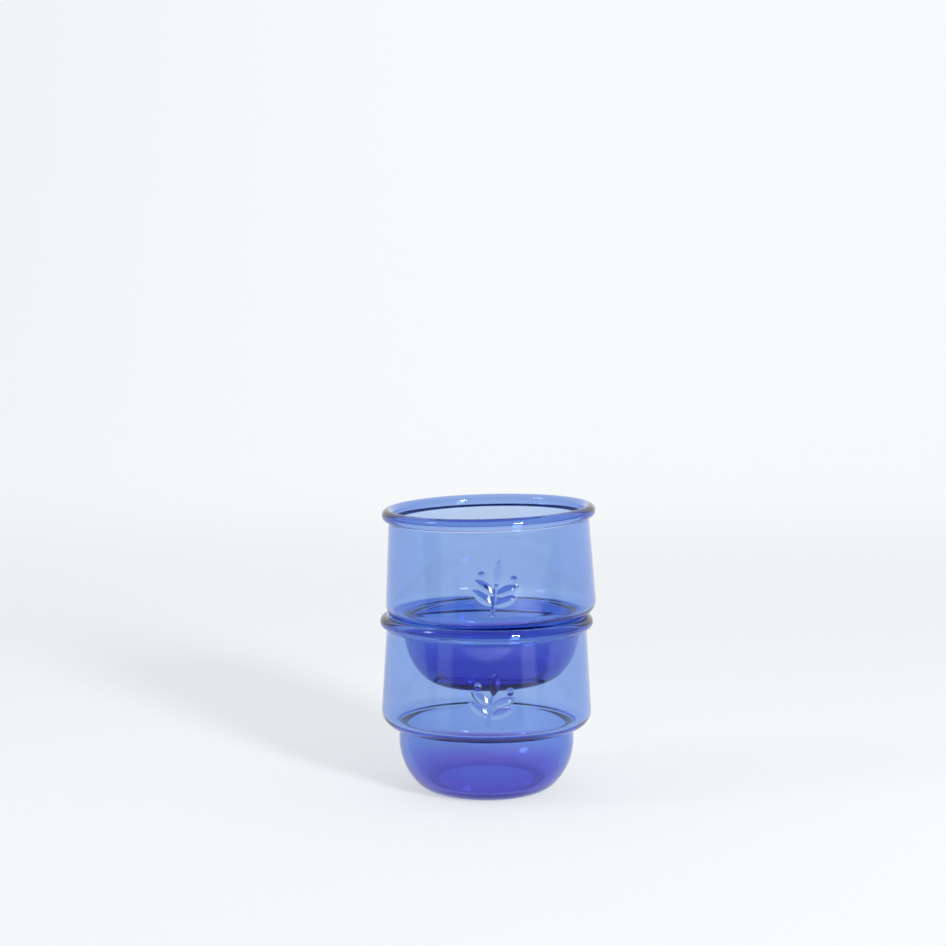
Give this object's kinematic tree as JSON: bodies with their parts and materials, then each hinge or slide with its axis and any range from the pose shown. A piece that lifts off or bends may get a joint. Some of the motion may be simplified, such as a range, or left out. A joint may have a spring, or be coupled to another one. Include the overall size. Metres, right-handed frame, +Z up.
{
  "type": "stacking cortado glass",
  "caption": "Stacking blue cortado glasses, each with a rolled bead rim, a flared body with a moulded sprig, and a shoulder that steps in to a rounded bowl, shown nested.",
  "frame": {"origin": "centre of the lower glass's flat foot, on the surface it stands on", "axes": "+Z up along the lower glass's axis, -Y to the front that carries the moulded sprig, +X to the right seen from the front"},
  "size_m": [0.0709, 0.0704, 0.0948],
  "materials": {
    "lower_glass": "clear polished blue glass",
    "upper_glass": "clear polished blue glass"
  },
  "bodies": {
    "lower": {"lower_glass": "lower_glass"},
    "upper": {"upper_glass": "upper_glass"}
  },
  "joints": [
    {"name": "upper_lift", "type": "slide", "parent": "lower", "child": "upper", "axis": [0, 0, 1], "range_m": [0, 0.04]}
  ]
}
